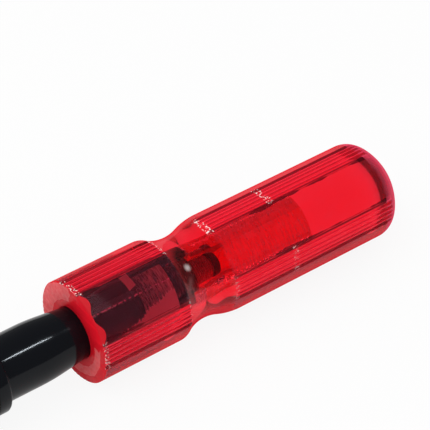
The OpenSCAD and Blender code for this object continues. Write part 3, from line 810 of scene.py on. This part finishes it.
wire_turns, winding_r = 6, 2.55
winding_from = rim_t + 0.02
turn_w = (coil_h - 1.3) / wire_turns
winding_outline = [(-winding_from, waist_r)]
for i in range(wire_turns):
    turn_at = -winding_from - turn_w * (i + 0.5)
    winding_outline += arc((turn_at, winding_r), turn_w / 2, 0, 180, 6)
winding_outline += [(winding_from - coil_h, waist_r)]
copper = Finish("enamelled_copper", Metallic=0.9)
enamel = copper.noise(600, 3)
copper.coloured(enamel, (0.5, 0.16, 0.06), (0.62, 0.24, 0.1))
copper.set(Roughness=enamel.ramp(0.3, 0.7, 0.2, 0.35))
piece("coil_winding", turned(winding_outline, 64, True, coil_place), copper, "handle", "contact_brass")


def block(bm, low, high, rounding):
    """Adds a box with rounded edges between two corners given as (station, across, height) in mm."""
    made = bmesh.ops.create_cube(bm, size=1)["verts"]
    size = [abs(b - a) * mm for a, b in zip(low, high)]
    middle = on_axis @ (Vector([(a + b) / 2 for a, b in zip(low, high)]) * mm)
    bmesh.ops.scale(bm, vec=size, verts=made)
    bmesh.ops.translate(bm, vec=middle, verts=made)
    edges = list({edge for vert in made for edge in vert.link_edges})
    bmesh.ops.bevel(bm, geom=edges, offset=rounding * mm, segments=3, profile=0.5,
                    affect="EDGES", material=-1)


chip_t, chip_w, chip_h = 1.5, 5, 4
chip_foot = 0.23 * cavity_r
chip_low = (board_back - chip_t, -chip_w / 2, chip_foot)
chip_high = (board_back - 0.2, chip_w / 2, chip_foot + chip_h)
bm = bmesh.new()
block(bm, chip_low, chip_high, 0.15)
moulded_chip = Finish("moulded_chip", Base_Color=(0.012, 0.012, 0.013))
chip_grain = moulded_chip.noise(3000, 2)
moulded_chip.grained(chip_grain, 0.45, 0.6, 0.00001)
piece("chip", bm, moulded_chip, "handle", "chip_black", "driver_chip")

tinned = Finish("tinned_leads", Metallic=1.0, Base_Color=(0.62, 0.61, 0.6))
tin_grain = tinned.noise(900, 3)
tinned.set(Roughness=tin_grain.ramp(0.3, 0.7, 0.25, 0.45))
lead_count, lead_step = 4, 0.93
lead_t, lead_w, lead_reach = 0.25, 0.4, 3.3
bm = bmesh.new()
for side in (-1, 1):
    for i in range(lead_count):
        height = chip_foot + 0.6 + lead_step * i
        root = (board_back - lead_t, side * (chip_w / 2 - 0.1), height - lead_w / 2)
        toe = (board_back, side * lead_reach, height + lead_w / 2)
        block(bm, root, toe, 0.05)
piece("chip_leads", bm, tinned, "handle", "contact_brass")

# ---- barrel ----
# The battery barrel is one black moulding with a fine spark-eroded surface, a raised pad for
# the switch, a recess for a clamp and a threaded land at the tail.
pebbled_black = scuffed_black("pebbled_black", 0.018, 1500, 0.00005, rounded=0.0004)
dress(pebbled_black, "barrel")

# ---- grip ----
# A rubber sleeve stretched into the barrel's recess. Its ribs are rounded, and their tops are
# cross-cut with a fine knurl.
grip_from, grip_to = -176, -102
grip_ribs, rib_h = 12, 0.5
rib_step = (grip_to - grip_from) / grip_ribs
grip_seat_r = barrel_r - 1
grip_outline = [(grip_to, grip_seat_r), (grip_from, grip_seat_r)]
for i in range(grip_ribs):
    start = grip_from + rib_step * i
    grip_outline += [
        (start + 0.1 * rib_step, barrel_r, 0.3), (start + 0.25 * rib_step, barrel_r + rib_h, 0.4),
        (start + 0.75 * rib_step, barrel_r + rib_h, 0.4), (start + 0.9 * rib_step, barrel_r, 0.3),
    ]
grip_rubber = Finish("grip_rubber")
station = grip_rubber.station()
around = grip_rubber.axis("Y").angle_from(grip_rubber.axis("Z") - axis_h) * degrees(1)
on_rib = grip_rubber.radius().ramp(barrel_r + 0.3, barrel_r + 0.45)
knurl_slant, half_cut = 3.6, 4
lean = station * knurl_slant
right_cut = abs((lean + around).wrapped(-half_cut, half_cut))
left_cut = abs((lean - around).wrapped(-half_cut, half_cut))
knurl = right_cut.maximum(left_cut).ramp(2.6, 3.8)
pores = grip_rubber.noise(2200, 3)
dust = grip_rubber.noise(60, 4, 0.7).ramp(0.4, 0.75) * (1 - on_rib * 0.7)
grip_rubber.coloured(dust * 0.5, (0.016, 0.016, 0.017), (0.05, 0.048, 0.045))
grip_rubber.set(Roughness=pores.ramp(0.3, 0.7, 0.6, 0.78))
grip_rubber.bump(pores * 0.2 - knurl * on_rib, 0.00015)
piece("grip", turned(grip_outline), grip_rubber, "handle", "grip_rubber", "grip_sleeve")

# ---- switch plate ----
# A dark anodised plate with round ends, drilled for the button and two countersunk screws that
# hold it on the pad.
switch_back = 18
switch_at = barrel_at - switch_back
pad_h, plate_t = 17, 1.8
plate_l, plate_w = 26, 13
button_r, button_gap = 4.3, 0.3
screw_gap, screw_head_r, screw_head_t, screw_r = 20, 1.9, 1, 0.9


def outline_loop(bm, points, height):
    """A closed loop of edges at a height over the axis, from points round the switch in mm."""
    verts = [bm.verts.new(on_axis @ (Vector((switch_at + x, y, height)) * mm)) for x, y in points]
    return [bm.edges.new((one, two)) for one, two in zip(verts, verts[1:] + verts[:1])]


def circle(x, radius, steps=48):
    return [(x + p[0], p[1]) for p in arc((0, 0), radius, 0, 360, steps)[:-1]]


def round_ended(length, width, steps=24):
    half = (length - width) / 2
    return arc((half, 0), width / 2, -90, 90, steps) + arc((-half, 0), width / 2, 90, 270, steps)


def plate_edge(inset):
    return round_ended(plate_l - 2 * inset, plate_w - 2 * inset)


def screw_hole(side, radius):
    return circle(side * screw_gap / 2, radius)


bm = bmesh.new()
rim_drop, hole_drop = 0.5, 0.3
hole_r = button_r + button_gap
top = pad_h + plate_t
rim_round = arc((0, 0), rim_drop, 90, 0, 5)
rim_rings = [(plate_edge(rim_drop - out), top - rim_drop + up) for out, up in rim_round]
rim_rings.append((plate_edge(0), pad_h))
hole_rings = [
    (circle(0, hole_r + hole_drop), top), (circle(0, hole_r), top - hole_drop), (circle(0, hole_r), pad_h),
]
screw_rings = [
    [(screw_hole(side, screw_head_r), top), (screw_hole(side, screw_r), top - screw_head_t),
     (screw_hole(side, screw_r), pad_h)]
    for side in (-1, 1)
]
openings = (rim_rings, hole_rings, *screw_rings)
for end in (0, -1):
    edges = [edge for rings in openings for edge in outline_loop(bm, *rings[end])]
    bmesh.ops.triangle_fill(bm, edges=edges, use_beauty=True)
for rings in openings:
    for upper, lower in zip(rings, rings[1:]):
        bmesh.ops.bridge_loops(bm, edges=outline_loop(bm, *upper) + outline_loop(bm, *lower))
bmesh.ops.remove_doubles(bm, verts=bm.verts, dist=1e-6)
bmesh.ops.recalc_face_normals(bm, faces=bm.faces)
anodised = Finish("dark_anodised", Metallic=0.7)
brushing = anodised.noise(400, 4, where=anodised.stretched(0.5, 14))
anodised.coloured(brushing, (0.1, 0.1, 0.105), (0.16, 0.16, 0.17))
anodised.grained(brushing, 0.3, 0.42, 0.00002)
piece("switch_plate", bm, anodised, "handle", "dark_grey_metal", "switch_bezel")


def bright_steel_finish(name, grey, marks, rounded=None):
    """Steel with fine marks from its plating or its drawing."""
    finish = Finish(name, Metallic=1.0)
    marking = finish.noise(marks, 4)
    dull = (grey * 0.85, grey * 0.85, grey * 0.87)
    finish.coloured(marking, dull, (grey, grey, grey * 1.02))
    finish.grained(marking, 0.18, 0.34, 0.00001, rounded)
    return finish


plated_steel = bright_steel_finish("plated_steel", 0.6, 500, rounded=0.00015)
dress(plated_steel, "bezel_screws", "loop_hinge")

# ---- push button ----
# A soft red moulding with a crowned top and two raised rings to find it by touch. A flange
# under the plate keeps it in, and a coil spring lifts it off the micro switch.
upright = Matrix.Rotation(-pi / 2, 4, "Y")
button_place = on_axis @ Matrix.Translation((switch_at * mm, 0, 0)) @ upright
button_top, crown_r = 21, 9
flange_top = pad_h - 0.1
stem_from = 12.2
flange_back = flange_top - 1
stem_r, button_flange_r = 1.8, 5.5
touch_rings, touch_h = (2.7, 1.3), 0.12


def crown(radius):
    """Height of the button's crown at a distance from its middle."""
    return button_top - crown_r + sqrt(crown_r ** 2 - radius ** 2)


button_outline = [
    (stem_from, 0), (stem_from, stem_r, 0.2), (flange_back, stem_r), (flange_back, button_flange_r, 0.2),
    (flange_top, button_flange_r, 0.2), (flange_top, button_r), (crown(button_r), button_r, 0.45),
]
for ring_r in touch_rings:
    for out, up in ((0.35, -touch_h), (0.15, 0), (-0.15, 0), (-0.35, -touch_h)):
        button_outline.append((crown(ring_r + out) + up, ring_r + out, 0.08))
button_outline.append((button_top - touch_h, 0))
soft_red = Finish("soft_red_rubber", Sheen_Weight=0.15)
soft_grain = soft_red.noise(1800, 3)
soft_red.coloured(soft_grain, (0.42, 0.014, 0.02), (0.52, 0.022, 0.028))
soft_red.grained(soft_grain, 0.45, 0.6, 0.00003)
bm = turned(button_outline, 64, False, button_place)
piece("button", bm, soft_red, "button", "red_button_rubber", "push_button")


def coil_spring(coil_r, wire_r, length, turns, place):
    """Round wire wound along a turned body's axis, with sizes in mm."""
    bm = bmesh.new()
    section = bmesh.ops.create_circle(bm, cap_ends=True, segments=12, radius=wire_r * mm)["verts"]
    start = Matrix.Translation((wire_r * mm, 0, coil_r * mm)) @ Matrix.Rotation(pi / 2, 4, "X")
    bmesh.ops.transform(bm, matrix=start, verts=section)
    steps = turns * 48
    rise = (length - 2 * wire_r) * mm / steps
    bmesh.ops.spin(bm, geom=bm.verts[:] + bm.edges[:] + bm.faces[:], cent=(0, 0, 0), axis=(1, 0, 0),
                   dvec=(rise, 0, 0), angle=2 * pi * turns, steps=steps)
    bmesh.ops.recalc_face_normals(bm, faces=bm.faces)
    bmesh.ops.transform(bm, matrix=place, verts=bm.verts)
    return bm


block_top = 10.5
spring_len = flange_back - block_top - 0.05
spring_foot = button_place @ Matrix.Translation((block_top * mm, 0, 0))
drawn_wire = bright_steel_finish("drawn_wire", 0.5, 900)
bm = coil_spring(0.8 * button_r, 0.3, spring_len, 4, spring_foot)
lifting_spring = piece("lifting_spring", bm, drawn_wire, "handle", "spring_steel", "button_spring")
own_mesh(lifting_spring)

# ---- micro switch and carrier ----
# A boxed micro switch sits on the shelf of an ivory carrier that closes the bore. A brass
# rivet in the carrier meets the front cell, and two blue wires run to the driver.
# The switch has a base, a cover and a plunger.
bm = bmesh.new()
for half_l, half_w, low, high, rounding in (
    (6, 5, -6.5, -2.3, 0.3),
    (5.9, 4.9, -2.4, -0.2, 0.3),
    (1, 1.4, -0.3, 0, 0.12),
):
    low_corner = (switch_at - half_l, -half_w, block_top + low)
    block(bm, low_corner, (switch_at + half_l, half_w, block_top + high), rounding)
piece("switch_block", bm, moulded_chip, "handle", "chip_black", "micro_switch")
ivory = Finish("ivory_moulding", Subsurface_Weight=0.05)
flow = ivory.noise(50, 4)
ivory.coloured(flow, (0.62, 0.6, 0.5), (0.7, 0.68, 0.6))
ivory.set(Roughness=flow.ramp(0.3, 0.7, 0.4, 0.55))
ivory.bump(ivory.noise(1200), 0.00002, rounded=0.0003)
dress(ivory, "switch_carrier")
dress(wire_sleeve("blue_wire_sleeve", (0.02, 0.05, 0.35)), "switch_wires")

brass = Finish("contact_brass", Metallic=1.0)
tarnish = brass.noise(90, 4, 0.65)
brass.coloured(tarnish.ramp(0.4, 0.7), (0.72, 0.5, 0.22), (0.45, 0.28, 0.1))
brass.set(Roughness=tarnish.ramp(0.3, 0.7, 0.2, 0.4))
brass.bump(brass.noise(700, 3), 0.00001)
carrier_wall_at, carrier_wall_t = switch_at - 9, 2.5
carrier_back = carrier_wall_at - carrier_wall_t
contact_t, contact_r, shank_r = 1.5, 5, 2.5
cells_at = carrier_back - contact_t
contact_outline = [
    (cells_at, 0), (cells_at, contact_r, 0.4), (carrier_back, contact_r, 0.2), (carrier_back, shank_r),
    (carrier_wall_at, shank_r, 0.2), (carrier_wall_at, 0),
]
bm = turned(contact_outline, 64, False)
piece("rivet_contact", bm, brass, "handle", "contact_brass", "front_contact")
dress(brass, "contact_strip")

# ---- cells ----
# Two C cells in plain dark sleeves shrunk over plated cans, with a thin copper line under the
# raised front contact.
cell_r, cell_len, nub_r, nub = 13.1, 50, 3.4, 1.6


def cell_outline(front):
    """Half outline of a cell, with the station of its raised contact."""
    back = front - cell_len
    shoulder = front - nub
    return [
        (back, 0), (back, 8, 0.2), (back + 0.4, 8.6, 0.2), (back + 0.4, cell_r - 1.6),
        (back, cell_r - 1.2, 0.3), (back + 0.1, cell_r, 0.9), (shoulder, cell_r, 0.9),
        (shoulder, cell_r - 1.6, 0.3), (shoulder - 0.4, cell_r - 2), (shoulder - 0.4, 6, 0.4),
        (shoulder, nub_r + 0.6, 0.3), (shoulder, nub_r, 0.2), (front, nub_r - 0.2, 0.3), (front, 0),
    ]


for name, front, node in (
    ("cell_by_the_lamp", cells_at, "front_cell"),
    ("cell_by_the_tail", cells_at - cell_len, "rear_cell"),
):
    sleeve = Finish("sleeve_of_" + name)
    shrink = sleeve.noise(70, 4, where=sleeve.stretched(0.3, 1))
    bare = sleeve.radius() < cell_r - 1.7
    line = abs(sleeve.station() - front + 9) < 0.8
    film = sleeve.mix(line, (0.02, 0.022, 0.028), (0.6, 0.26, 0.12))
    sleeve.coloured(bare, film, (0.62, 0.62, 0.63)).set(Metallic=bare)
    sleeve.grained(shrink, 0.22, 0.34, 0.0001)
    piece(name, turned(cell_outline(front), 96, False), sleeve, "handle", "cell_can", node)

# ---- tail spring and cup ----
# A coil of spring wire stands in a pressed brass cup in the cap. It pushes the cells forward
# and takes their current to the cup.
spring_room, cup_depth = 12.5, 4.5
floor_at = cells_at - 2 * cell_len - spring_room
barrel_end = floor_at + cup_depth
cup_t, cup_r, cup_hole_r = 0.6, 12.9, 2
cup_floor = on_axis @ Matrix.Translation(((floor_at + cup_t) * mm, 0, 0))
bm = coil_spring(0.6 * cell_r, 0.7, spring_room - cup_t - 0.2, 4, cup_floor)
piece("pressing_spring", bm, drawn_wire, "tail_plunger", "spring_steel", "tail_spring")
cup_outline = [
    (floor_at, cup_hole_r, 0.15), (floor_at, cup_r, 0.5), (barrel_end, cup_r, 0.2),
    (barrel_end, cup_r - cup_t, 0.2), (floor_at + cup_t, cup_r - cup_t, 0.3),
    (floor_at + cup_t, cup_hole_r, 0.15),
]
piece("contact_cup", turned(cup_outline, 96), brass, "tail_plunger", "contact_brass", "tail_contact")

# ---- tail cap ----
# A six-sided moulded screw cap, bevelled at both ends, with a recess in its end. It turns down
# on a flat red gasket.
cap_reach = 12
shoulder_at = barrel_end + cap_reach
seal_back = shoulder_at - 1
seal_inner_r, seal_outer_r = bore_r + 1.2, barrel_r - 0.3
cap_black = scuffed_black("cap_black", 0.016, 1800, 0.00004, rounded=0.0005)
dress(cap_black, "tail_cap")
seal_ring_outline = [
    (seal_back, seal_inner_r), (seal_back, seal_outer_r, 0.35), (shoulder_at, seal_outer_r, 0.35),
    (shoulder_at, seal_inner_r),
]
red_gasket = Finish("red_gasket")
gasket_grain = red_gasket.noise(1500, 3)
red_gasket.coloured(gasket_grain, (0.32, 0.025, 0.025), (0.4, 0.035, 0.03))
red_gasket.grained(gasket_grain, 0.5, 0.65, 0.00003)
piece("cap_gasket", turned(seal_ring_outline), red_gasket, "handle", "red_gasket", "cap_seal")

# ---- hinge, rivets and hanging loop ----
# A wire loop swings in the rolled eye of a plate that two round-headed rivets hold in the cap's
# recess. All are bright plated steel.
cap_floor_t = 2.5
hinge_r, hinge_t = 1.9, 0.8
pivot_at = floor_at - cap_floor_t - hinge_r
pivot_h = 7
plate_face = pivot_at + hinge_r - hinge_t
rivet_side, rivet_rise = 2, 3.4
head_t, head_r, head_dome_r = 0.6, 0.9, 0.75
bm = bmesh.new()
for side in (-1, 1):
    dome_middle = (plate_face - head_t + head_dome_r, 0)
    head = [(plate_face, head_r)] + arc(dome_middle, head_dome_r, 115, 180, 6)
    rivet_place = on_axis @ Matrix.Translation((0, side * rivet_side * mm, (pivot_h + rivet_rise) * mm))
    rivet = turned([(plate_face, 0)] + head, 32, False, rivet_place)
    one_rivet = bpy.data.meshes.new("one_rivet")
    rivet.to_mesh(one_rivet)
    rivet.free()
    bm.from_mesh(one_rivet)
piece("round_heads", bm, plated_steel, "cap", "bright_steel", "hinge_rivets")

loop_w, loop_r, corner_r, leg = 14, 1, 2, 7
half = loop_w / 2
hinge_place = on_axis @ Matrix.Translation((pivot_at * mm, 0, pivot_h * mm))


def bend(bm, section, across, height, angle, steps):
    """Bends the wire's open end about a point of the loop's plane, and returns the new end."""
    centre = hinge_place @ (Vector((0, across, height)) * mm)
    turned_end = bmesh.ops.spin(bm, geom=section, cent=centre, axis=(1, 0, 0), angle=angle, steps=steps)
    return turned_end["geom_last"]


def run(bm, section, across, height):
    """Runs the wire's open end straight on, and returns the new end."""
    return bmesh.ops.spin(bm, geom=section, dvec=(0, across * mm, height * mm), angle=0, steps=1,
                          axis=(1, 0, 0), cent=(0, 0, 0))["geom_last"]


bm = bmesh.new()
wire = bmesh.ops.create_circle(bm, segments=24, radius=loop_r * mm)["verts"]
corner = Matrix.Translation((0, (half - corner_r) * mm, 0))
wire_start = hinge_place @ corner @ Matrix.Rotation(pi / 2, 4, "X")
bmesh.ops.transform(bm, matrix=wire_start, verts=wire)
end = wire + list({edge for vert in wire for edge in vert.link_edges})
end = bend(bm, end, half - corner_r, -corner_r, -pi / 2, 8)
end = run(bm, end, 0, -leg)
end = bend(bm, end, 0, -corner_r - leg, -pi, 32)
end = run(bm, end, 0, leg)
end = bend(bm, end, corner_r - half, -corner_r, -pi / 2, 8)
end = run(bm, end, loop_w - 2 * corner_r, 0)
bmesh.ops.remove_doubles(bm, verts=bm.verts, dist=1e-6)
bmesh.ops.recalc_face_normals(bm, faces=bm.faces)
polished_wire = bright_steel_finish("polished_wire", 0.62, 400)
piece("wire_loop", bm, polished_wire, "loop", "bright_steel", "hang_loop")
